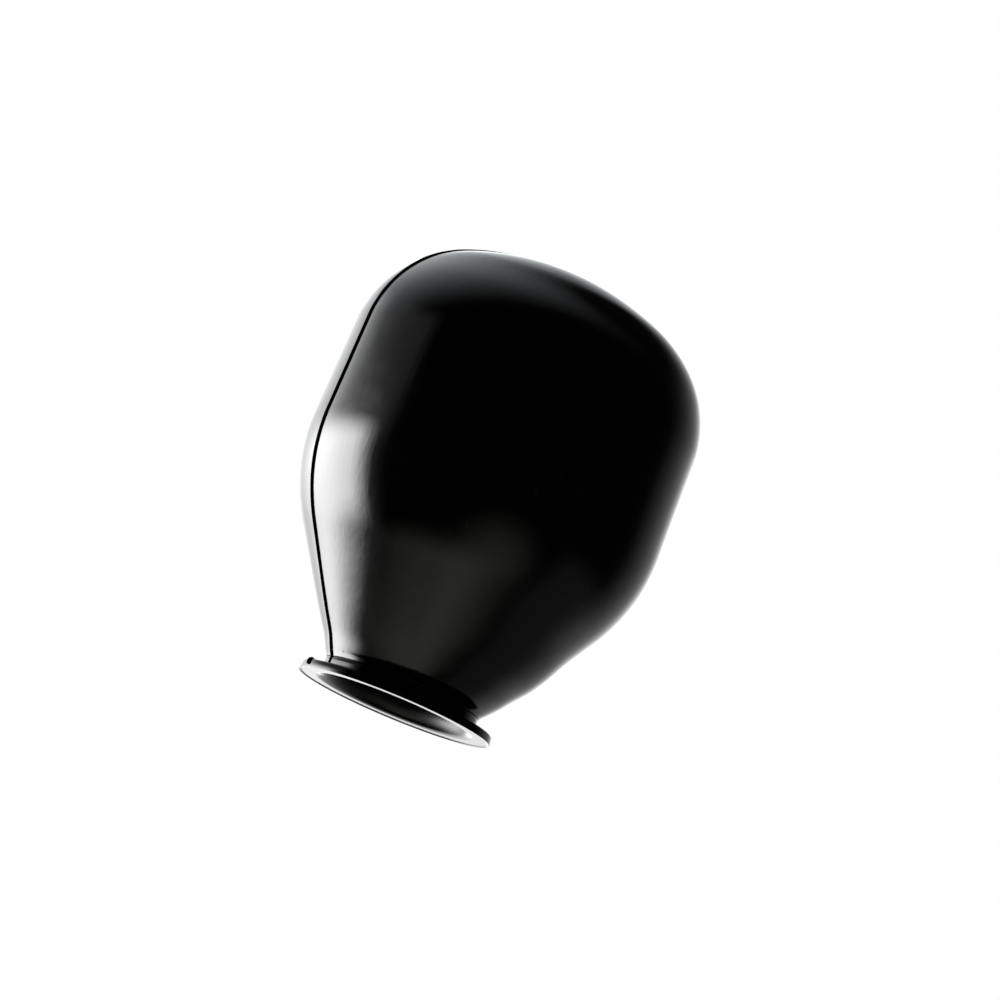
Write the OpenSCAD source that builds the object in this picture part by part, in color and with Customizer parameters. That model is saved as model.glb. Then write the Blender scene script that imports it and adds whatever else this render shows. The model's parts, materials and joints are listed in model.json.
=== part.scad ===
// Dust blower bulb: a hollow moulded rubber bulb with a flanged mouth.
// The origin is the centre of the flat mouth face and +Z runs from the mouth to the closed dome.
// The two halves of the wall meet on the plane x = 0. The patch of wall that a finger
// pushes in on each half is a solid of its own, cut clear of the wall around it.

/* [Bulb] */
// Diameter of the bulb at its widest ring
bulb_d = 60; // [57:0.5:63]
// Length from the mouth face to the top of the dome
bulb_len = 75; // [74:0.2:78]
// Thickness of the rubber wall
wall = 2.2; // [1.8:0.1:2.6]
// Half angle of the cone that widens from the neck
cone_angle = 33.2; // [31:0.2:35]
// Radius of the round between the cone and the side
belly_r = 29.5; // [27:0.5:30]
// Lean of the side towards the axis above the widest ring
side_angle = 2.3; // [1:0.1:4]
// Radius of the round between the side and the dome
shoulder_r = 19; // [17:0.5:21]
// Radius of the dome
dome_r = 43.4; // [41:0.2:47]

/* [Mouth ring] */
// Outer radius of the flange
flange_r = 16.4; // [15.5:0.1:18]
// Thickness of the flange
flange_t = 1.4; // [1.2:0.1:1.8]
// Rounding of the flange's back edge
flange_round = 0.5; // [0.3:0.1:0.6]
// Outer radius of the neck
neck_r = 13.15; // [13:0.05:13.5]
// Height of the neck above the mouth face, where the cone starts
neck_top = 3.1; // [2.9:0.1:3.6]
// Rounding between the flange and the neck
neck_fillet = 0.5; // [0.3:0.1:0.6]
// Radius of the bore that grips a nozzle
bore_r = 11.2; // [10.6:0.1:11.4]
// Radius of the round where the mouth face turns into the bore
mouth_round = 2.4; // [1.8:0.1:2.6]
// Radial thickness of the ring's sleeve inside the neck
sleeve_t = 1; // [0.8:0.1:1.2]

/* [Seam] */
// Thickness of the bonded web between the two halves
seam_w = 0.3; // [0.2:0.05:0.5]
// Height of the seam's fin above the wall
seam_h = 0.35; // [0.2:0.05:0.6]

/* [Squeeze patches] */
// Diameter of each patch of wall that is pushed in
patch_d = 32; // [26:1:34]
// Height of the patches' centre above the mouth face
patch_z = 40; // [38:0.5:42]
// Clearance between a patch and the wall around it
patch_gap = 0.2; // [0.1:0.05:0.3]

/* [Hidden] */
$fn = 144;
rubber = [0.05, 0.05, 0.048];
cut_size = 200;
arc_step = 5;

// Points are [radius, height] pairs. ray() is the unit step at an angle above the radial direction.
function ray(angle) = [cos(angle), sin(angle)];

cone_start = [neck_r, neck_top];
belly_c_r = bulb_d / 2 - belly_r;
cone_len = (belly_c_r + belly_r * cos(cone_angle) - neck_r) / sin(cone_angle);
cone_end = cone_start + cone_len * ray(90 - cone_angle);
belly_c = cone_end - belly_r * ray(-cone_angle);
dome_c = [0, bulb_len - dome_r];

// The shoulder's centre lies on the side line moved in by shoulder_r, and touches the dome from inside.
side_dir = ray(90 + side_angle);
side_from = belly_c + (belly_r - shoulder_r) * ray(side_angle) - dome_c;
side_along = side_from * side_dir;
side_len = sqrt(side_along^2 - side_from * side_from + (dome_r - shoulder_r)^2) - side_along;
shoulder_c = dome_c + side_from + side_len * side_dir;
dome_angle = atan2(shoulder_c[1] - dome_c[1], shoulder_c[0]);

sleeve_r = bore_r + sleeve_t;
// Where the inside of the cone is as wide as the sleeve, which is where the sleeve ends
sleeve_top = neck_top + (sleeve_r + wall / cos(cone_angle) - neck_r) / tan(cone_angle);

// Points along an arc, about arc_step degrees apart
function arc(centre, r, from, to) =
    let (steps = ceil((to - from) / arc_step))
    [for (i = [0:steps]) centre + r * ray(from + (to - from) * i / steps)];

// The bulb from its axis out to its surface, moved in by inset, above the height bottom
module bulb_area(inset, bottom) {
    low = cone_start + inset * ray(180 - cone_angle);
    foot_r = low[0] + (bottom - low[1]) * tan(cone_angle);
    // The dome's arc starts one step on, as the shoulder's arc already ends where the two touch.
    polygon(concat(
        [[0, bottom], [foot_r, bottom]],
        arc(belly_c, belly_r - inset, -cone_angle, side_angle),
        arc(shoulder_c, shoulder_r - inset, side_angle, dome_angle),
        arc(dome_c, dome_r - inset, dome_angle + arc_step, 90)
    ));
}

// The wall's cross-section, from the neck to the dome, open for the sleeve and standing proud by fin
module wall_area(fin = 0) {
    difference() {
        bulb_area(-fin, neck_top);
        bulb_area(wall, sleeve_top);
        square([sleeve_r, sleeve_top]);
    }
}

// What is kept on one side of the bonded web: -1 is left and 1 is right
module side_block(side) {
    translate([side * (cut_size + seam_w) / 2, 0, 0]) cube(cut_size, center = true);
}

// A round bar that runs out through the middle of one half's wall
module patch_bar(side, r) {
    translate([0, 0, patch_z]) rotate([0, side * 90, 0]) cylinder(r = r, h = bulb_d);
}

module half_wall(side) {
    difference() {
        intersection() {
            rotate_extrude() wall_area();
            side_block(side);
        }
        patch_bar(side, patch_d / 2 + patch_gap);
    }
}

module squeeze_patch(side) {
    intersection() {
        rotate_extrude() wall_area();
        patch_bar(side, patch_d / 2);
    }
}

module left_half() {
    color(rubber) half_wall(-1);
}

module right_half() {
    color(rubber) half_wall(1);
}

// The foot of the fin, which runs on down the neck to the flange's fillet
module fin_foot() {
    foot_z = flange_t + neck_fillet;
    translate([neck_r, foot_z]) square([seam_h, neck_top - foot_z]);
}

// The cemented joint between the halves, which stands out as a thin fin all the way over the dome
module seam_web() {
    color(rubber) rotate([90, 0, 90]) linear_extrude(seam_w, center = true)
        for (side = [0, 1]) mirror([side, 0]) {
            wall_area(seam_h);
            fin_foot();
        }
}

// The flange, the neck and the sleeve that the halves are bonded to
module mouth_ring() {
    back_round = [flange_r - flange_round, flange_t - flange_round];
    color(rubber) rotate_extrude() difference() {
        union() {
            square([back_round[0], flange_t]);
            square([flange_r, back_round[1]]);
            translate(back_round) circle(flange_round);
            square([neck_r, neck_top]);
            square([sleeve_r, sleeve_top]);
            difference() {
                square([neck_r + neck_fillet, flange_t + neck_fillet]);
                translate([neck_r, flange_t] + neck_fillet * [1, 1]) circle(neck_fillet);
            }
        }
        square([bore_r, sleeve_top]);
        difference() {
            square([bore_r + mouth_round, mouth_round]);
            translate([bore_r + mouth_round, mouth_round]) circle(mouth_round);
        }
    }
}

module left_squeeze_patch() {
    color(rubber) squeeze_patch(-1);
}

module right_squeeze_patch() {
    color(rubber) squeeze_patch(1);
}

left_half();
right_half();
seam_web();
mouth_ring();
left_squeeze_patch();
right_squeeze_patch();
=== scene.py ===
import json
import math

import bmesh
import bpy
from mathutils import Matrix, Vector, noise


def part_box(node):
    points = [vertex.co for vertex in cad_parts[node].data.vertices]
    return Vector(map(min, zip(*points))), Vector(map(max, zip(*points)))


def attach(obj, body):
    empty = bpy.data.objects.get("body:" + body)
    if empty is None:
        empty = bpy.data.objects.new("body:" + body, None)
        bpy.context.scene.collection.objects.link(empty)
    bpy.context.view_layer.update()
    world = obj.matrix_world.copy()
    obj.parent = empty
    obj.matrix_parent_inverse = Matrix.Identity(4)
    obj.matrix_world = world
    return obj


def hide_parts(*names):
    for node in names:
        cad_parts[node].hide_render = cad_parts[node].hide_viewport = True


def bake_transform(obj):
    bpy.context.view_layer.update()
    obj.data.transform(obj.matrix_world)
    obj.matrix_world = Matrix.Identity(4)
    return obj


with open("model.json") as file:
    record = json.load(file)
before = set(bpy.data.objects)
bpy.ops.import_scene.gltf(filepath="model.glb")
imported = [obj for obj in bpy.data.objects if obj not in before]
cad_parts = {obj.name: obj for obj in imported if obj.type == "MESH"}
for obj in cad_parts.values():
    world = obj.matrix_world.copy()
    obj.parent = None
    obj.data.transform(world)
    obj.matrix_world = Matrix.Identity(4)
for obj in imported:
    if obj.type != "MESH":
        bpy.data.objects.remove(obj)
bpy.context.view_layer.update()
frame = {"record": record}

# Lengths are written in millimetres and multiplied by MM, because the frame is in metres.
MM = 0.001

# Read from the frame
BULB_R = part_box("left_half")[1].y / MM
BULB_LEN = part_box("left_half")[1].z / MM
SEAM_HALF = -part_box("left_half")[1].x / MM
NECK_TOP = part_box("left_half")[0].z / MM
FIN_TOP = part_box("seam_web")[1].z / MM
FLANGE_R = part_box("mouth_ring")[1].x / MM
SLEEVE_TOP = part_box("mouth_ring")[1].z / MM
BORE_R = next(m["dims"]["r_mm"] for m in frame["record"]["mounts"] if m["name"] == "mouth_bore")

# The bulb's outline, as in the CAD model
CONE_ANGLE = 33.2
BELLY_R = 29.5
SIDE_ANGLE = 2.3
SHOULDER_R = 19
DOME_R = 43.4
WALL = 2.2
NECK_R = 13.15
SLEEVE_R = BORE_R + 1
FLANGE_T = 1.4
NECK_FILLET = 0.5
MOUTH_ROUND = 2.4
FIN_H = FIN_TOP - BULB_LEN

# The camera: where it stands round the bulb, how it is rolled, and what it aims at
CAMERA_AZIMUTH = math.radians(67)
CAMERA_ELEVATION = math.radians(-8.7)
CAMERA_ROLL = math.radians(22.6)
CAMERA_DISTANCE = 1051 * MM
CAMERA_LENS = 237.6
CAMERA_SENSOR = 36
AIM_RIGHT = 2.93 * MM
AIM_HEIGHT = 37.2 * MM
TOWARDS = Vector((math.sin(CAMERA_AZIMUTH), -math.cos(CAMERA_AZIMUTH), 0))
RIGHTWARDS = Vector((math.cos(CAMERA_AZIMUTH), math.sin(CAMERA_AZIMUTH), 0))
UP = Vector((0, 0, 1))

# The moulding leans a little: it leaves the ring to one side and crosses over towards the dome.
LEAN_AT_FOOT = 0.64
LEAN_PER_MM = -0.0198
LEAN_FROM, LEAN_TO = 2.9, 7.0

# The skin lies just inside the CAD's wall, and its slow waves only go inwards.
SKIN_INSET = 0.03
WAVE_DEPTH = 0.07
WAVE_SIZE = 17.0
QUICK_WAVE_DEPTH = 0.35
QUICK_WAVE_SIZE = 0.4

# The cone bulges a little between these heights.
CONE_BOW = 0.26
CONE_LOW, CONE_HIGH = 3.3, 25.0
BOW_PEAK = 27 / 4

# One side bulges at two heights. Each is (0 up to, 1 from, 1 up to, 0 from).
SWELL = 0.5
SWELL_SHOULDER = (44, 58, 62, 76)
SWELL_LOW = (7, 11, 12, 18)


def smoothstep(value, low, high):
    t = min(1.0, max(0.0, (value - low) / (high - low)))
    return t * t * (3 - 2 * t)


# ---------------------------------------------------------------- outline


def ray(degrees):
    return Vector((math.cos(math.radians(degrees)), math.sin(math.radians(degrees))))


def arc(centre, r, start, end, step):
    """Points about step millimetres apart along an arc, as (radius, height)."""
    count = max(2, math.ceil(abs(math.radians(end - start)) * r / step))
    return [centre + r * ray(start + (end - start) * i / count) for i in range(count + 1)]


def line(start, end, step):
    """Points about step apart along a straight stretch, without its end."""
    count = max(1, math.ceil((end - start).length / step))
    return [start.lerp(end, i / count) for i in range(count)]


def centres():
    """The arcs' centres and the angle at which the shoulder meets the dome."""
    belly_c_r = BULB_R - BELLY_R
    reach = belly_c_r + BELLY_R * math.cos(math.radians(CONE_ANGLE)) - NECK_R
    cone_start = Vector((NECK_R, NECK_TOP))
    cone_end = cone_start + reach / math.sin(math.radians(CONE_ANGLE)) * ray(90 - CONE_ANGLE)
    belly = cone_end - BELLY_R * ray(-CONE_ANGLE)
    dome = Vector((0, BULB_LEN - DOME_R))
    side_dir = ray(90 + SIDE_ANGLE)
    side_from = belly + (BELLY_R - SHOULDER_R) * ray(SIDE_ANGLE) - dome
    along = side_from.dot(side_dir)
    side_len = math.sqrt(along**2 - side_from.length_squared + (DOME_R - SHOULDER_R) ** 2) - along
    shoulder = dome + side_from + side_len * side_dir
    dome_angle = math.degrees(math.atan2(shoulder.y - dome.y, shoulder.x))
    return cone_start, belly, shoulder, dome, dome_angle


def outline(inset, bottom, step):
    """The bulb's outline, moved in by inset, from the height bottom up to the axis."""
    cone_start, belly, shoulder, dome, dome_angle = centres()
    low = cone_start + inset * ray(180 - CONE_ANGLE)
    foot = Vector((low.x + (bottom - low.y) * math.tan(math.radians(CONE_ANGLE)), bottom))
    belly_arc = arc(belly, BELLY_R - inset, -CONE_ANGLE, SIDE_ANGLE, step)
    shoulder_arc = arc(shoulder, SHOULDER_R - inset, SIDE_ANGLE, dome_angle, step)
    dome_arc = arc(dome, DOME_R - inset, dome_angle, 90, step)
    return line(foot, belly_arc[0], step) + belly_arc + shoulder_arc[1:] + dome_arc[1:]


def lean(point):
    """Where a point of the leaning moulding goes, in millimetres."""
    shift = (LEAN_AT_FOOT + LEAN_PER_MM * point.z) * smoothstep(point.z, LEAN_FROM, LEAN_TO)
    return point + shift * RIGHTWARDS


def bow(height):
    """How far the cone bulges at a height, most of it near the neck."""
    t = min(1.0, max(0.0, (height - CONE_LOW) / (CONE_HIGH - CONE_LOW)))
    return CONE_BOW * BOW_PEAK * t * (1 - t) ** 2


def swell(point):
    """How far the moulding bulges on the side away from the flash: at the shoulder and low on the cone."""
    facing = max(0.0, point.xy.normalized().dot(RIGHTWARDS.xy)) ** 2
    return SWELL * facing * (band(point.z, SWELL_SHOULDER) + band(point.z, SWELL_LOW))


def band(height, levels):
    """1 between the two middle levels, and easing to 0 at the outer ones."""
    foot, low, high, top = levels
    return smoothstep(height, foot, low) * (1 - smoothstep(height, high, top))


def wave(point):
    """The slow unevenness of moulded rubber, always inwards, in millimetres."""
    slow = noise.noise(point / WAVE_SIZE)
    quick = QUICK_WAVE_DEPTH * noise.noise(point / (QUICK_WAVE_SIZE * WAVE_SIZE) + Vector((7, 3, 5)))
    return WAVE_DEPTH * (0.5 + 0.5 * max(-1.0, min(1.0, slow + quick)))


# ---------------------------------------------------------------- meshes


def mesh_object(name, points, faces):
    """A smooth-shaded object from points in millimetres."""
    mesh = bpy.data.meshes.new(name)
    mesh.from_pydata([p * MM for p in points], [], faces)
    mesh.validate()
    mesh.shade_smooth()
    obj = bpy.data.objects.new(name, mesh)
    bpy.context.scene.collection.objects.link(obj)
    return obj


def loft(rows, closed):
    """Points and quads through rows of equally many points. closed joins each row's ends."""
    points = [p for row in rows for p in row]
    width = len(rows[0])
    faces = []
    for i in range(len(rows) - 1):
        for j in range(width if closed else width - 1):
            k = (j + 1) % width
            faces.append((i * width + j, i * width + k, (i + 1) * width + k, (i + 1) * width + j))
    return points, faces


# ---------------------------------------------------------------- skins


# The rounding of the skin's foot on the neck, and of its edge beside the fin
FOOT_ROUND = 0.3
FOOT_FROM, FOOT_TO = -80, -15
FOOT_STEP = 0.1
SEAM_ROLL = 0.03
SEAM_ROLL_W = 0.3

# The skin's mesh: steps along its section, and how many there are round one half
SKIN_STEP = 0.9
SKIN_COUNT = 96
# How much of a half's ring of vertices is spread out in its middle and crowded near the seam
CROWDING = 0.35

# What the mesh's tidying takes for one point and for a face without area, and its sharp edges
WELD = 0.002
FLAT = 0.001
SHARP = 50


def skin_section():
    """The half wall's section in two lists: up the outside, and down the inside."""
    outside = outline(SKIN_INSET, NECK_TOP + FOOT_ROUND, SKIN_STEP)
    foot = arc(outside[0] - Vector((FOOT_ROUND, 0)), FOOT_ROUND, FOOT_FROM, FOOT_TO, FOOT_STEP)
    inside = outline(WALL, SLEEVE_TOP, 2 * SKIN_STEP)
    outside = [Vector((SLEEVE_R, foot[0].y))] + foot + outside
    return outside, inside[::-1] + [Vector((SLEEVE_R, SLEEVE_TOP))]


def half_row(side, r, z, count):
    """One ring of a half wall, from its seam face at -Y round to the one at +Y."""
    reach = math.acos(min(1.0, SEAM_HALF / max(r, SEAM_HALF)))
    row = []
    for i in range(count + 1):
        t = -1 + 2 * i / count
        # The steps get short near the seam, where the edge rolls in beside the fin.
        a = reach * (t * (1 + CROWDING - CROWDING * t * t))
        row.append(Vector((side * r * math.cos(a), r * math.sin(a), z)))
    return row


def skin(side):
    """One half's whole wall, the patch that is pushed in included, as one closed mesh."""
    outside, inside = skin_section()
    rows = []
    for index, p in enumerate(outside + inside):
        outer = index < len(outside)
        row = half_row(side, p.x, p.y, SKIN_COUNT)
        if outer and p.x > 1:
            row = [rolled(q) for q in row]
        rows.append([lean(q) for q in row])
    points, faces = loft(rows, closed=False)
    faces += seam_faces(len(outside), len(inside), SKIN_COUNT + 1)
    faces += bottom_faces(len(rows), SKIN_COUNT + 1)
    name = "left_skin" if side < 0 else "right_skin"
    obj = mesh_object(name, points, faces)
    tidy_mesh(obj)
    return obj


def rolled(q):
    """A point of the outer skin, moved by the bulges, the waves and the rolled edge at the seam."""
    from_seam = abs(q.x) - SEAM_HALF
    roll = SEAM_ROLL * math.exp(-from_seam / SEAM_ROLL_W)
    flat = Vector((q.x, q.y, 0)).normalized()
    return q + (bow(q.z) + swell(q) - roll - wave(q)) * flat


def seam_faces(outer_count, inner_count, width):
    """The two faces that lie on the seam plane, from the outer row ends to the inner ones."""
    total = outer_count + inner_count
    faces = []
    for column in (0, width - 1):
        outer = [i * width + column for i in range(outer_count)]
        inner = [(total - 1 - i) * width + column for i in range(inner_count)]
        faces += bridge(outer, inner)
    return faces


def bridge(first, second):
    """Triangles that join two open chains of vertices."""
    faces = []
    i = j = 0
    while i < len(first) - 1 or j < len(second) - 1:
        if j == len(second) - 1 or (i < len(first) - 1 and i * len(second) <= j * len(first)):
            faces.append((first[i], first[i + 1], second[j]))
            i += 1
        else:
            faces.append((first[i], second[j + 1], second[j]))
            j += 1
    return faces


def bottom_faces(row_count, width):
    """The strip between the section's last row and its first."""
    last = (row_count - 1) * width
    return [(last + j, last + j + 1, j + 1, j) for j in range(width - 1)]


def tidy_mesh(obj):
    """Welds what meets at one point, drops faces without area and turns every face outwards."""
    made = bmesh.new()
    made.from_mesh(obj.data)
    bmesh.ops.remove_doubles(made, verts=made.verts, dist=WELD * MM)
    bmesh.ops.dissolve_degenerate(made, edges=made.edges, dist=FLAT * MM)
    bmesh.ops.recalc_face_normals(made, faces=made.faces)
    made.to_mesh(obj.data)
    made.free()
    obj.data.shade_smooth()
    obj.data.set_sharp_from_angle(angle=math.radians(SHARP))


# ---------------------------------------------------------------- seam


# The fin's height over the dome, where it is all but trimmed away, and the radii between which it fades
FIN_ON_TOP = 0.04
FIN_FADES_AT, FIN_FULL_AT = 16.0, 25.0

# The share of the CAD fin's height that the fin has, how much it varies, and over what length
FIN_SHARE = 0.75
FIN_UNEVEN = 0.15
FIN_UNEVEN_LENGTH = 4
# How far the fin's sides stay inside the web's, and the least it stands out
FIN_THINNER = 0.01
FIN_LEAST = 0.02
# The angles of the points on the fin's rounded top
CROWN = range(0, 181, 30)


def seam_rows(path):
    """Rows of the web's outline along a path of (outer point, inner point, fin height)."""
    rows = []
    half = SEAM_HALF - FIN_THINNER
    for index, (out, inner, height) in enumerate(path):
        before = path[max(0, index - 1)][0]
        after = path[min(len(path) - 1, index + 1)][0]
        along = (after - before).normalized()
        normal = Vector((0, -along.z, along.y))
        place = Vector((0, out.y / FIN_UNEVEN_LENGTH, out.z / FIN_UNEVEN_LENGTH))
        share = FIN_SHARE - FIN_UNEVEN * abs(noise.noise(place))
        rows.append([lean(p) for p in crown(out, inner, normal, half, height * share)])
    return rows


def crown(out, inner, normal, half, height):
    """One section of the web: its buried edge, and the fin's rounded top."""
    across = Vector((1, 0, 0))
    top = out + normal * max(FIN_LEAST, height - half)
    angles = [math.radians(d) for d in CROWN]
    rounded = [top + half * (math.cos(a) * across + math.sin(a) * normal) for a in angles]
    return [inner - half * across, inner + half * across] + rounded


# The flash: how far its nib on the flange's rim and its line along the flange's back stand out
FLASH_RIM_H = 0.55
FLASH_END_H = 0.8 * FLASH_RIM_H
FLASH_BACK_H = 0.08
# The nib's heights below the flange's back, and how far its last two points lie inside the rim
NIB_BELOW = (1.0, 0.8, 0.5, 0.2)
NIB_INSIDE = (0.1, 0.35)
# The line's radii along the flange's back, and its end in the neck's fillet
BACK_RADII = (15.6, 15.0, 14.2)
FILLET_OUT, FILLET_UP = 0.45, 0.1
# How deep the flash's root lies in the flange, and the lowest that it goes
ROOT_DEPTH = 0.4
ROOT_LOWEST = 0.25
# The heights of the fin's foot on the neck, and how far its root stays outside the sleeve
FOOT_HEIGHTS = (1.9, 2.3, 2.7)
FOOT_ROOT = 0.3
# The size of the flash in front and at the back
FLASH_NEAR, FLASH_FAR = 1.0, 0.35


def flash_rim():
    """The fin's points round the flange's rim, each (radius, height, how far it stands out)."""
    lowest, low, high, highest = (FLANGE_T - below for below in NIB_BELOW)
    turn, last = (FLANGE_R - inside for inside in NIB_INSIDE)
    foot = [(FLANGE_R, lowest, FLASH_END_H), (FLANGE_R, low, FLASH_RIM_H)]
    top = [(FLANGE_R, high, FLASH_RIM_H), (turn, highest, FLASH_RIM_H)]
    return foot + top + [(last, FLANGE_T, FLASH_END_H)]


def flash_back():
    """The fin's points in along the back of the flange and up the neck's fillet."""
    back = [(r, FLANGE_T, FLASH_BACK_H) for r in BACK_RADII]
    return back + [(NECK_R + FILLET_OUT, FLANGE_T + FILLET_UP, FLASH_BACK_H)]


def flash(side, size):
    """The seam's flash on one side: a nib on the rim, a low line along the back, and the fin's foot."""
    path = []
    for r, z, h in flash_rim() + flash_back():
        path.append((r, z, r - ROOT_DEPTH, max(ROOT_LOWEST, z - ROOT_DEPTH), h * size))
    path += [(NECK_R, z, SLEEVE_R + FOOT_ROOT, z, FIN_H) for z in FOOT_HEIGHTS]
    return [(Vector((0, side * r, z)), Vector((0, side * ri, zi)), h) for r, z, ri, zi, h in path]


def over_bulb(side):
    """The web's path from the neck to the top of the dome on one side."""
    inner = outline(WALL, SLEEVE_TOP, SKIN_STEP)
    path = []
    for p in outline(0, NECK_TOP, SKIN_STEP):
        near = min(inner, key=lambda q: (q - p).length)
        worn = FIN_ON_TOP + (FIN_H - FIN_ON_TOP) * smoothstep(p.x, FIN_FADES_AT, FIN_FULL_AT)
        height = FIN_H if p.y < BULB_LEN / 2 else worn
        out = Vector((0, side * p.x, p.y))
        out.y += side * (bow(p.y) + (swell(out) if p.x > 1 else 0))
        path.append((out, Vector((0, side * near.x, near.y)), height))
    return path


def seam():
    """The bonded web between the skins, with its fin over the dome and its flash on the flange."""
    near = flash(-1, FLASH_NEAR) + over_bulb(-1)
    far = flash(1, FLASH_FAR) + over_bulb(1)
    rows = seam_rows(near + far[-2::-1])
    points, faces = loft(rows, closed=True)
    width = len(rows[0])
    last = (len(rows) - 1) * width
    faces.append(tuple(range(width)))
    faces.append(tuple(last + j for j in reversed(range(width))))
    obj = mesh_object("seam_fin", points, faces)
    tidy_mesh(obj)
    return obj


# ---------------------------------------------------------------- mouth ring


# The face lies LIP_H above the foot of the lip round it, which is LIP_W wide and has rounded edges.
LIP_H = 0.14
LIP_W = 0.25
LIP_EDGE = 0.06
LIP_EDGE_STEP = 0.03
LIP_OUT = 0.02
LIP_IN = 0.08
FACE_STEP = 0.5
FACE_COUNT = 4
# The bore's heights, from its far end towards the mouth, and the steps along the mouth's round
BORE_END = 0.3
BORE_HEIGHTS = (4.2, 3.2)
MOUTH_STEP = 0.12
# The rim leans in towards the flange's back, and is rounded there
RIM_DRAFT = 0.1
BACK_ROUND = 0.35
BACK_STEP = 0.08
FLANGE_RADII = (14.9, 14.3)
# The neck, its step where the halves' wall begins, and the sleeve behind them
FILLET_STEP = 0.1
NECK_HEIGHTS = (2.0, 2.5, NECK_TOP - 0.12)
NECK_SHOULDER = ((0.04, 0), (0.3, 0.12))
SLEEVE_POINTS = ((SLEEVE_R + 0.05, NECK_TOP + 0.5), (SLEEVE_R - 0.02, SLEEVE_TOP - 0.1))
SLEEVE_END = (SLEEVE_R - 0.3, BORE_R + 0.3)
RING_COUNT = 192


def mouth_section():
    """The bore, the round at the mouth and the face, as (radius, height)."""
    corner = BORE_R + MOUTH_ROUND
    bore = [Vector((BORE_R, z)) for z in (SLEEVE_TOP - BORE_END, *BORE_HEIGHTS)]
    funnel = arc(Vector((corner, LIP_H + MOUTH_ROUND)), MOUTH_ROUND, 180, 270, MOUTH_STEP)
    face = [Vector((corner + FACE_STEP * i, LIP_H)) for i in range(1, FACE_COUNT + 1)]
    return bore + funnel + face


def lip_section():
    """The lip round the face: its step down, its rounded inner edge, and its outer one."""
    lip_r = FLANGE_R - LIP_W
    foot_r = lip_r + LIP_OUT
    step = [Vector((lip_r - LIP_IN, LIP_H)), Vector((lip_r, LIP_H - LIP_EDGE)), Vector((foot_r, LIP_EDGE))]
    inner = arc(Vector((foot_r + LIP_EDGE, LIP_EDGE)), LIP_EDGE, 200, 270, LIP_EDGE_STEP)
    outer = arc(Vector((FLANGE_R - LIP_EDGE, LIP_EDGE)), LIP_EDGE, 270, 358, LIP_EDGE_STEP)
    return step + inner + outer


def flange_section():
    """The flange's rounded back edge, its back, and the fillet up to the neck."""
    edge_c = Vector((FLANGE_R - RIM_DRAFT - BACK_ROUND, FLANGE_T - BACK_ROUND))
    edge = arc(edge_c, BACK_ROUND, 4, 88, BACK_STEP)
    back = [Vector((radius, FLANGE_T)) for radius in FLANGE_RADII]
    fillet_c = Vector((NECK_R + NECK_FILLET, FLANGE_T + NECK_FILLET))
    return edge + back + arc(fillet_c, NECK_FILLET, 270, 180, FILLET_STEP)


def neck_section():
    """The neck up to the halves, and the sleeve inside them up to its end."""
    neck = [Vector((NECK_R, height)) for height in NECK_HEIGHTS]
    neck += [Vector((NECK_R - inside, NECK_TOP + above)) for inside, above in NECK_SHOULDER]
    sleeve = [Vector(point) for point in SLEEVE_POINTS]
    return neck + sleeve + [Vector((radius, SLEEVE_TOP)) for radius in SLEEVE_END]


def mouth_ring():
    rows = []
    section = mouth_section() + lip_section() + flange_section() + neck_section()
    for i in range(RING_COUNT):
        a = 2 * math.pi * i / RING_COUNT
        rows.append([Vector((p.x * math.cos(a), p.x * math.sin(a), p.y)) for p in section])
    rows.append(rows[0])
    points, faces = loft(rows, closed=True)
    obj = mesh_object("mouth_ring_skin", points, faces)
    tidy_mesh(obj)
    return obj


# ---------------------------------------------------------------- materials


# How many grains of each texture a millimetre holds
CLOUD_GRAIN = 0.07
STREAK_GRAIN = 1.3
PORE_GRAIN = 2.2
SLOW_GRAIN = 0.16
SCRATCH_GRAIN = 0.8
# How the streaks and the scratches are squeezed, which draws them out along the bulb
STREAK_STRETCH = (1, 1, 0.12)
SCRATCH_STRETCH = (1.6, 1.6, 0.3)
# The depths of the bumps
PORE_DEPTH = 0.0012
STREAK_DEPTH = 0.012
SLOW_DEPTH = 0.03
WORN_DEPTH = 0.002
# The rubber's colours, and how much rougher it is where it is worn
RUBBER_BLACK = (0.0004, 0.0004, 0.0004, 1)
RUBBER_WORN = (0.005, 0.005, 0.005, 1)
RUBBER_IOR = 1.5
WORN_ROUGHER = 0.1
# The roughness of each piece, from its glossiest patches to its dullest
BULB_GLOSS = (0.08, 0.13)
SEAM_GLOSS = (0.12, 0.2)
RING_GLOSS = (0.06, 0.1)
# How much rougher the ring is inside the mouth, and over which stretch beyond the bore that fades
MOUTH_ROUGHER = 0.36
DULL_TO, GLOSS_FROM = 0.3, 1.6


def new_material(name):
    """A node material, with its nodes, its links and its Principled shader."""
    material = bpy.data.materials.new(name)
    material.use_nodes = True
    nodes = material.node_tree.nodes
    return material, nodes, material.node_tree.links, nodes["Principled BSDF"]


def noise_node(nodes, links, coordinates, scale, detail, stretch=None):
    """Noise: scale is how many grains a millimetre holds, and stretch scales the three axes."""
    texture = nodes.new("ShaderNodeTexNoise")
    texture.inputs["Scale"].default_value = scale / MM
    texture.inputs["Detail"].default_value = detail
    source = coordinates
    if stretch:
        mapping = nodes.new("ShaderNodeMapping")
        mapping.inputs["Scale"].default_value = stretch
        links.new(coordinates, mapping.inputs["Vector"])
        source = mapping.outputs["Vector"]
    links.new(source, texture.inputs["Vector"])
    return texture.outputs["Fac"]


def ranged(nodes, links, value, low, high, to_low, to_high):
    """value from low to high becomes to_low to to_high, eased and clamped."""
    node = nodes.new("ShaderNodeMapRange")
    node.interpolation_type = "SMOOTHSTEP"
    node.inputs["From Min"].default_value = low
    node.inputs["From Max"].default_value = high
    node.inputs["To Min"].default_value = to_low
    node.inputs["To Max"].default_value = to_high
    links.new(value, node.inputs["Value"])
    return node.outputs["Result"]


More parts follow.
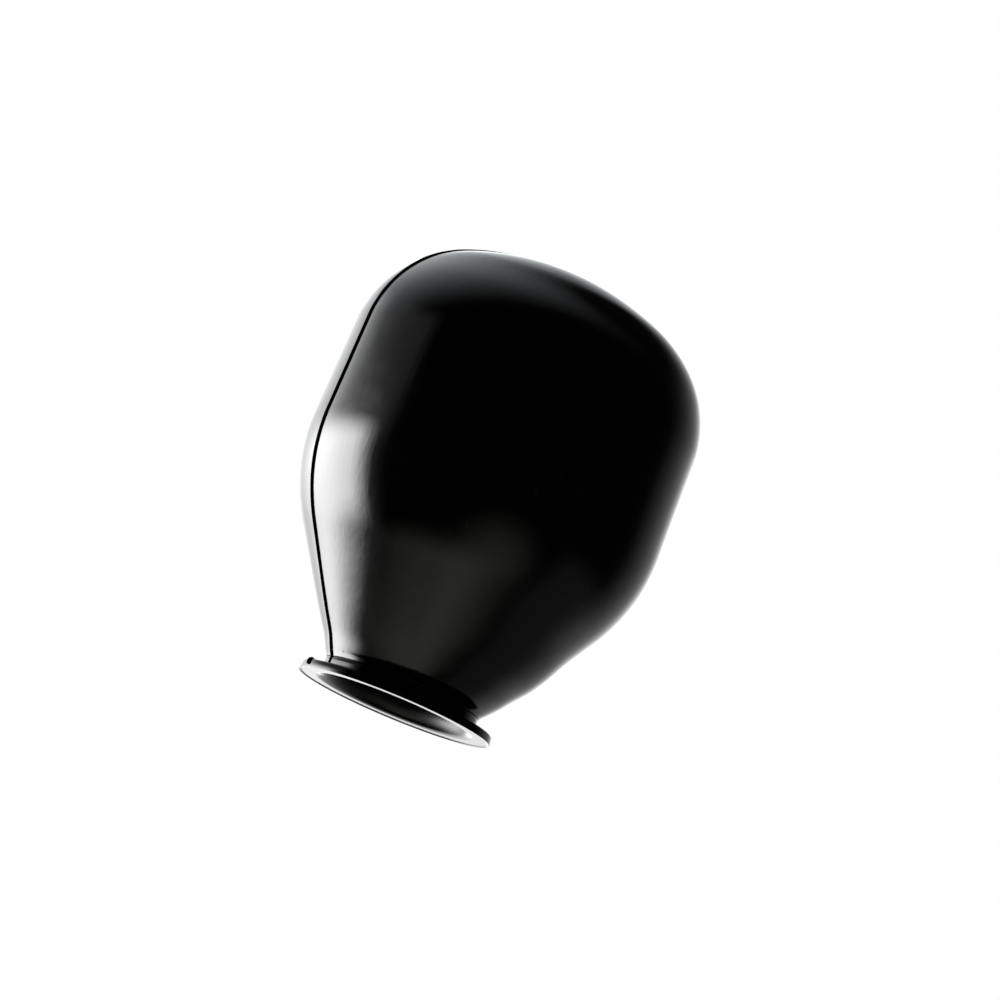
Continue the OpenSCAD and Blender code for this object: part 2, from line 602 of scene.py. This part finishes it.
def combined(nodes, links, first, second, operation="ADD"):
    """Two values added, or put together by another operation."""
    node = nodes.new("ShaderNodeMath")
    node.operation = operation
    links.new(first, node.inputs[0])
    links.new(second, node.inputs[1])
    return node.outputs["Value"]


def bump(nodes, links, height, depth, below=None):
    """A bump whose height is depth millimetres, on top of the normal below."""
    node = nodes.new("ShaderNodeBump")
    node.inputs["Distance"].default_value = depth * MM
    node.inputs["Strength"].default_value = 1.0
    links.new(height, node.inputs["Height"])
    if below:
        links.new(below, node.inputs["Normal"])
    return node.outputs["Normal"]


def rubber(name, gloss):
    """Black moulded rubber: a gloss that dulls in patches, faint scuffs, and a fine streaky grain."""
    material, nodes, links, shader = new_material(name)
    place = nodes.new("ShaderNodeTexCoord").outputs["Object"]
    cloud = noise_node(nodes, links, place, CLOUD_GRAIN, 3)
    streaks = noise_node(nodes, links, place, STREAK_GRAIN, 3, STREAK_STRETCH)
    pores = noise_node(nodes, links, place, PORE_GRAIN, 3)
    slow = noise_node(nodes, links, place, SLOW_GRAIN, 2)
    scratch = noise_node(nodes, links, place, SCRATCH_GRAIN, 4, SCRATCH_STRETCH)
    scuffs = ranged(nodes, links, scratch, 0.6, 0.76, 0.0, 1.0)
    patches = ranged(nodes, links, cloud, 0.46, 0.62, 0.0, 1.0)
    worn = combined(nodes, links, scuffs, patches, "MULTIPLY")

    colour = nodes.new("ShaderNodeMix")
    colour.data_type = "RGBA"
    colour.inputs["A"].default_value = RUBBER_BLACK
    colour.inputs["B"].default_value = RUBBER_WORN
    links.new(worn, colour.inputs["Factor"])
    links.new(colour.outputs["Result"], shader.inputs["Base Color"])

    even = ranged(nodes, links, cloud, 0.35, 0.65, *gloss)
    rubbed = ranged(nodes, links, worn, 0.0, 1.0, 0.0, WORN_ROUGHER)
    links.new(combined(nodes, links, even, rubbed), shader.inputs["Roughness"])
    shader.inputs["IOR"].default_value = RUBBER_IOR

    normal = bump(nodes, links, pores, PORE_DEPTH)
    normal = bump(nodes, links, streaks, STREAK_DEPTH, normal)
    normal = bump(nodes, links, slow, SLOW_DEPTH, normal)
    normal = bump(nodes, links, worn, WORN_DEPTH, normal)
    links.new(normal, shader.inputs["Normal"])
    return material


def bulb_rubber():
    return rubber("bulb_rubber", BULB_GLOSS)


def seam_rubber():
    return rubber("seam_rubber", SEAM_GLOSS)


def ring_rubber():
    material = rubber("ring_rubber", RING_GLOSS)
    dull_inside(material)
    return material


def dull_inside(material):
    """Makes the ring rougher inside the mouth, where the mould wasn't polished."""
    nodes, links = material.node_tree.nodes, material.node_tree.links
    flat = nodes.new("ShaderNodeVectorMath")
    flat.operation = "MULTIPLY"
    flat.inputs[1].default_value = (1, 1, 0)
    links.new(nodes.new("ShaderNodeTexCoord").outputs["Object"], flat.inputs[0])
    radius = nodes.new("ShaderNodeVectorMath")
    radius.operation = "LENGTH"
    links.new(flat.outputs["Vector"], radius.inputs[0])
    start, end = (BORE_R + DULL_TO) * MM, (BORE_R + GLOSS_FROM) * MM
    bore = ranged(nodes, links, radius.outputs["Value"], start, end, MOUTH_ROUGHER, 0.0)
    roughness = nodes["Principled BSDF"].inputs["Roughness"]
    links.new(combined(nodes, links, roughness.links[0].from_socket, bore), roughness)


# ---------------------------------------------------------------- studio


# How bright each patch of the studio looks in the rubber, where the white background is 1
BOX_LIGHT = 12
SPILL_LIGHT = 1.4
TAIL_LIGHT = 0.25
LOW_LIGHT = 0.7
CEILING_LIGHT = 1.25
SIDE_LIGHT = 0.62
BACK_LIGHT = 0.5
LOW_WALL_LIGHT = 0.09
TABLE_LIGHT = 0.27
UNDER_LIGHT = 0.5
ROOM_LIGHT = 0.007
# The light on matt surfaces, which grows from the horizon up to AMBIENT_FULL degrees
AMBIENT_LIGHT = 1.15
AMBIENT_FULL = 60
WHITE = (1, 1, 1)
CEILING_COLOUR = (0.94, 1.0, 1.04)
TABLE_COLOUR = (0.98, 1.03, 0.84)


class Sky:
    """Builds the studio's light from the direction it comes from, in angles round the camera's azimuth."""

    def __init__(self):
        self.world = bpy.data.worlds.new("studio")
        self.world.use_nodes = True
        self.nodes = self.world.node_tree.nodes
        self.links = self.world.node_tree.links
        self.nodes.remove(self.nodes["Background"])
        self.direction = self.nodes.new("ShaderNodeTexCoord").outputs["Generated"]
        ahead = self.dot(self.direction, TOWARDS)
        right = self.dot(self.direction, RIGHTWARDS)
        up = self.dot(self.direction, UP)
        self.azimuth = self.degrees(self.math("ARCTAN2", right, ahead))
        # Measured from straight behind instead, and growing towards the left
        self.behind = self.degrees(self.math("ARCTAN2", self.negative(right), self.negative(ahead)))
        self.elevation = self.degrees(self.math("ARCSINE", up))

    def dot(self, direction, axis):
        node = self.nodes.new("ShaderNodeVectorMath")
        node.operation = "DOT_PRODUCT"
        node.inputs[1].default_value = axis
        self.links.new(direction, node.inputs[0])
        return node.outputs["Value"]

    def math(self, operation, first, second=None):
        node = self.nodes.new("ShaderNodeMath")
        node.operation = operation
        for value, socket in zip((first, second), node.inputs):
            if isinstance(value, (int, float)):
                socket.default_value = value
            elif value is not None:
                self.links.new(value, socket)
        return node.outputs["Value"]

    def negative(self, value):
        return self.math("MULTIPLY", value, -1)

    def degrees(self, value):
        return self.math("MULTIPLY", value, 180 / math.pi)

    def step(self, value, low, high):
        """0 below low and 1 above high. With low above high it falls instead."""
        node = self.nodes.new("ShaderNodeMapRange")
        node.interpolation_type = "SMOOTHSTEP"
        node.inputs["From Min"].default_value = low
        node.inputs["From Max"].default_value = high
        self.links.new(value, node.inputs["Value"])
        return node.outputs["Result"]

    def area(self, azimuths, elevations, around=None):
        """A soft patch of sky: each range is (0 at, 1 from, 1 to, 0 at), in degrees."""
        mask = None
        for value, (a, b, c, d) in ((around or self.azimuth, azimuths), (self.elevation, elevations)):
            for low, high in ((a, b), (d, c)):
                if low is None:
                    continue
                edge = self.step(value, low, high)
                mask = edge if mask is None else self.math("MULTIPLY", mask, edge)
        return mask

    def lobe(self, azimuth, elevation, core, reach):
        """A round patch of sky: 1 within core degrees of its middle, and 0 from reach degrees on."""
        a, e = math.radians(azimuth), math.radians(elevation)
        middle = (TOWARDS * math.cos(a) + RIGHTWARDS * math.sin(a)) * math.cos(e) + UP * math.sin(e)
        return self.step(self.degrees(self.math("ARCCOSINE", self.dot(self.direction, middle))), reach, core)

    def sum(self, parts):
        """The light of several patches, each a (brightness, mask)."""
        total = None
        for brightness, mask in parts:
            part = self.math("MULTIPLY", mask, brightness)
            total = part if total is None else self.math("ADD", total, part)
        return total

    def shine(self, colour, strength):
        """Light of one colour, as a shader."""
        background = self.nodes.new("ShaderNodeBackground")
        background.inputs["Color"].default_value = (*colour, 1)
        self.links.new(strength, background.inputs["Strength"])
        return background.outputs["Background"]

    def both(self, first, second):
        node = self.nodes.new("ShaderNodeAddShader")
        self.links.new(first, node.inputs[0])
        self.links.new(second, node.inputs[1])
        return node.outputs["Shader"]


def softbox(sky):
    """The tall softbox to the left and a little behind, its spill, and a small light low at the back."""
    box = sky.area((20, 72, 83, 105), (-45, -22, -2, 13), sky.behind)
    spill = sky.area((-8, 12, 38, 68), (-50, -25, 12, 25), sky.behind)
    tail = sky.area((40, 55, 100, 115), (-60, -30, 12, 30), sky.behind)
    low = sky.lobe(-163, -3, 2, 13)
    return sky.sum([(BOX_LIGHT, box), (SPILL_LIGHT, spill), (TAIL_LIGHT, tail), (LOW_LIGHT, low)])


def ceiling(sky):
    """The dim ceiling on the left, dark again towards the right."""
    dark = sky.math("SUBTRACT", 1.0, sky.lobe(150, 50, 14, 48))
    return sky.math("MULTIPLY", sky.lobe(-155, 42, 0, 66), dark)


def right_wall(sky):
    """The dim white wall on the right, brightest round the back, and its faint foot."""
    side = sky.area((-76, -12, 5, 22), (-60, -30, 5, 44), sky.behind)
    back = sky.area((-35, -8, 5, 22), (-14, -2, 10, 24), sky.behind)
    low = sky.area((58, 80, 125, 150), (-80, -60, -24, -8))
    return sky.sum([(SIDE_LIGHT, side), (BACK_LIGHT, back), (LOW_WALL_LIGHT, low)])


def table(sky):
    """What comes back from the table in front and below."""
    front = sky.lobe(27, -43, 2, 33)
    under = sky.area((-120, -60, -5, 55), (None, None, -64, -38))
    return sky.sum([(TABLE_LIGHT, front), (UNDER_LIGHT, under)])


def studio():
    """What reflections, matt surfaces and the camera each see round the bulb."""
    sky = Sky()
    nodes, links = sky.nodes, sky.links
    path = nodes.new("ShaderNodeLightPath")
    glossy = path.outputs["Is Glossy Ray"]
    neutral = sky.math("ADD", sky.math("ADD", softbox(sky), right_wall(sky)), ROOM_LIGHT)
    overhead = sky.math("MULTIPLY", ceiling(sky), CEILING_LIGHT)
    ambient = sky.math("MULTIPLY", sky.step(sky.elevation, 0, AMBIENT_FULL), AMBIENT_LIGHT)
    diffuse = sky.math("MULTIPLY", ambient, path.outputs["Is Diffuse Ray"])
    seen = sky.math("MAXIMUM", path.outputs["Is Camera Ray"], path.outputs["Is Transmission Ray"])

    plain = sky.math("ADD", sky.math("MULTIPLY", neutral, glossy), sky.math("ADD", diffuse, seen))
    light = sky.shine(WHITE, plain)
    light = sky.both(light, sky.shine(CEILING_COLOUR, sky.math("MULTIPLY", overhead, glossy)))
    light = sky.both(light, sky.shine(TABLE_COLOUR, sky.math("MULTIPLY", table(sky), glossy)))
    links.new(light, nodes["World Output"].inputs["Surface"])
    sky.world.cycles.sampling_method = "NONE"
    bpy.context.scene.world = sky.world


# Half the floor's width, its grey, and how far out it turns white
FLOOR_SIZE = 4000.0
FLOOR_GREY = (0.86, 0.86, 0.86, 1)
SWEEP_FROM, SWEEP_TO = 150.0, 700.0


def floor_material():
    """Pale and matt round the bulb, white further out, and not there from below."""
    material, nodes, links, shader = new_material("floor_pale")
    nodes.remove(shader)
    matt = nodes.new("ShaderNodeBsdfDiffuse")
    matt.inputs["Color"].default_value = FLOOR_GREY
    distance = nodes.new("ShaderNodeVectorMath")
    distance.operation = "LENGTH"
    links.new(nodes.new("ShaderNodeTexCoord").outputs["Object"], distance.inputs[0])
    sweep = ranged(nodes, links, distance.outputs["Value"], SWEEP_FROM * MM, SWEEP_TO * MM, 0, 1)
    white = nodes.new("ShaderNodeEmission").outputs["Emission"]
    above = mixed(nodes, links, sweep, matt.outputs["BSDF"], white)
    below = nodes.new("ShaderNodeBsdfTransparent").outputs["BSDF"]
    backface = nodes.new("ShaderNodeNewGeometry").outputs["Backfacing"]
    links.new(mixed(nodes, links, backface, above, below), nodes["Material Output"].inputs["Surface"])
    return material


def mixed(nodes, links, factor, first, second):
    """The first shader where factor is 0 and the second where it is 1."""
    mix = nodes.new("ShaderNodeMixShader")
    links.new(factor, mix.inputs["Fac"])
    links.new(first, mix.inputs[1])
    links.new(second, mix.inputs[2])
    return mix.outputs["Shader"]


def floor():
    """The plain floor, which reflections and shadows leave out."""
    signs = ((-1, -1), (1, -1), (1, 1), (-1, 1))
    corners = [Vector((x * FLOOR_SIZE, y * FLOOR_SIZE, 0)) for x, y in signs]
    obj = mesh_object("floor", corners, [(0, 1, 2, 3)])
    obj.data.materials.append(floor_material())
    obj.visible_glossy = False
    obj.visible_shadow = False


def camera():
    """A camera just below the mouth's plane, rolled so that the bulb leans to the right."""
    back = TOWARDS * math.cos(CAMERA_ELEVATION) + UP * math.sin(CAMERA_ELEVATION)
    level_up = UP * math.cos(CAMERA_ELEVATION) - TOWARDS * math.sin(CAMERA_ELEVATION)
    right = RIGHTWARDS * math.cos(CAMERA_ROLL) + level_up * math.sin(CAMERA_ROLL)
    up = level_up * math.cos(CAMERA_ROLL) - RIGHTWARDS * math.sin(CAMERA_ROLL)
    aim = RIGHTWARDS * AIM_RIGHT + UP * AIM_HEIGHT
    data = bpy.data.cameras.new("camera")
    data.lens = CAMERA_LENS
    data.sensor_width = CAMERA_SENSOR
    obj = bpy.data.objects.new("camera", data)
    turn = Matrix((right, up, back)).transposed().to_4x4()
    obj.matrix_world = Matrix.Translation(aim + back * CAMERA_DISTANCE) @ turn
    bpy.context.scene.collection.objects.link(obj)
    bpy.context.scene.camera = obj


# ---------------------------------------------------------------- assembly


def dress(obj, material, slot, *nodes):
    obj.data.materials.append(material)
    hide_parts(*nodes)


camera()
studio()
floor()
bpy.context.scene.view_settings.view_transform = "Standard"

skin_material = bulb_rubber()
for side, name in ((-1, "left"), (1, "right")):
    half = skin(side)
    dress(half, skin_material, "bulb_rubber", f"{name}_half", f"{name}_squeeze_patch")
    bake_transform(half)

fin = seam()
dress(fin, seam_rubber(), "seam_rubber", "seam_web")
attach(fin, "bulb")

ring = mouth_ring()
dress(ring, ring_rubber(), "ring_rubber", "mouth_ring")
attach(ring, "bulb")
